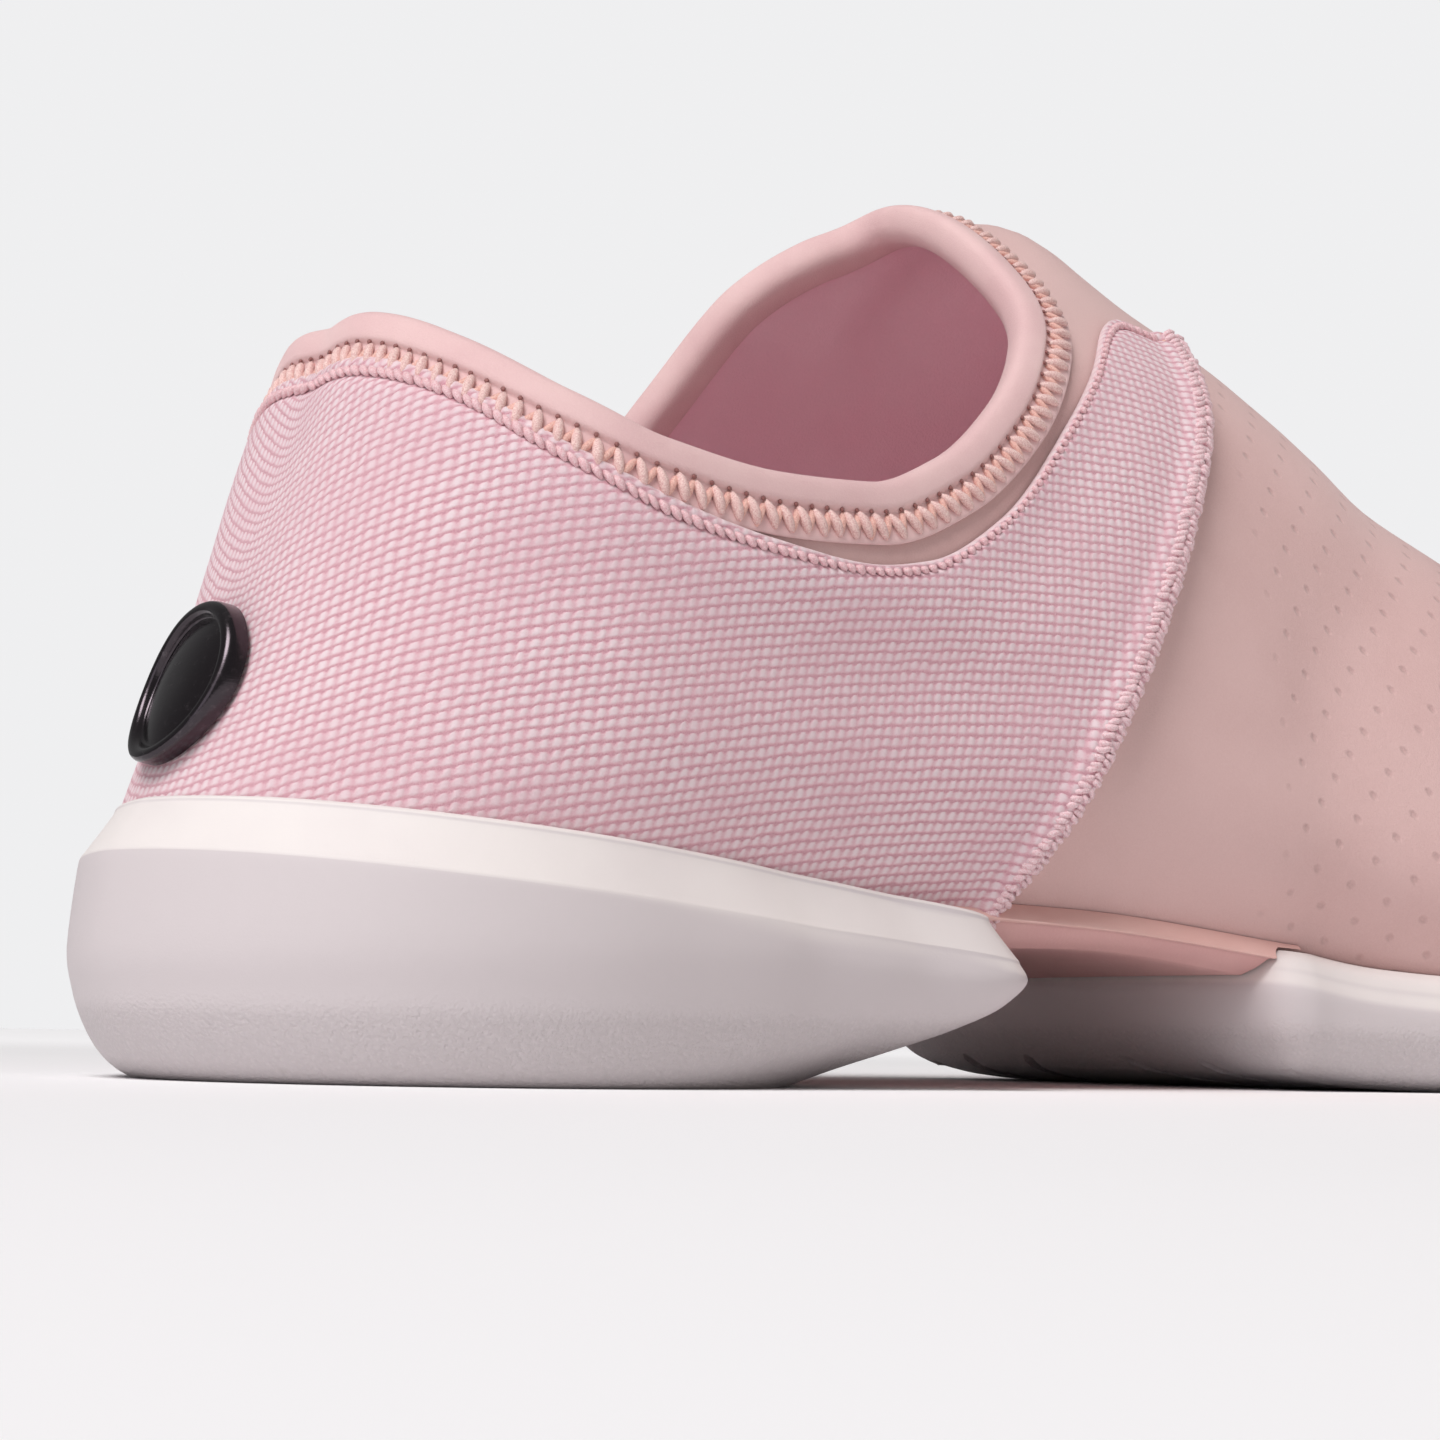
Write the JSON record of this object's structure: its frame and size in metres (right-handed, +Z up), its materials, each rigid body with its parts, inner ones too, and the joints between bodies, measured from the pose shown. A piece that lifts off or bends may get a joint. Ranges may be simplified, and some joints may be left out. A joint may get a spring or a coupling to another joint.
{
  "type": "dance sneaker",
  "caption": "Low slip-on dance sneaker with a split sole, a soft hollow upper, a woven heel overlay and round pivot discs under heel and ball.",
  "frame": {"origin": "on the floor under the middle of the shoe's length and width", "axes": "+X to the toe, +Y to the wearer's left (the inner side of this right shoe), +Z up"},
  "size_m": [0.2569, 0.089, 0.097],
  "materials": {
    "smooth_knit": "smooth matte stretch fabric, lightly perforated ahead of the seam",
    "canvas": "coarse matte basket weave",
    "binding": "smooth rolled edge with zigzag stitching",
    "lining": "soft matte lining",
    "sole_rubber": "matte off-white, fine pebble low down",
    "pivot_rubber": "satin moulded rings",
    "arch_rubber": "smooth satin flexible panel",
    "badge_metal": "polished dark gunmetal"
  },
  "bodies": {
    "root": {"upper": "smooth_knit", "quarter": "canvas", "collar_binding": "binding", "insole": "lining", "heel_sole": "sole_rubber", "heel_pivot_disc": "pivot_rubber", "arch_panel": "arch_rubber", "forefoot_sole": "sole_rubber", "forefoot_pivot_disc": "pivot_rubber", "heel_badge": "badge_metal"}
  },
  "joints": []
}
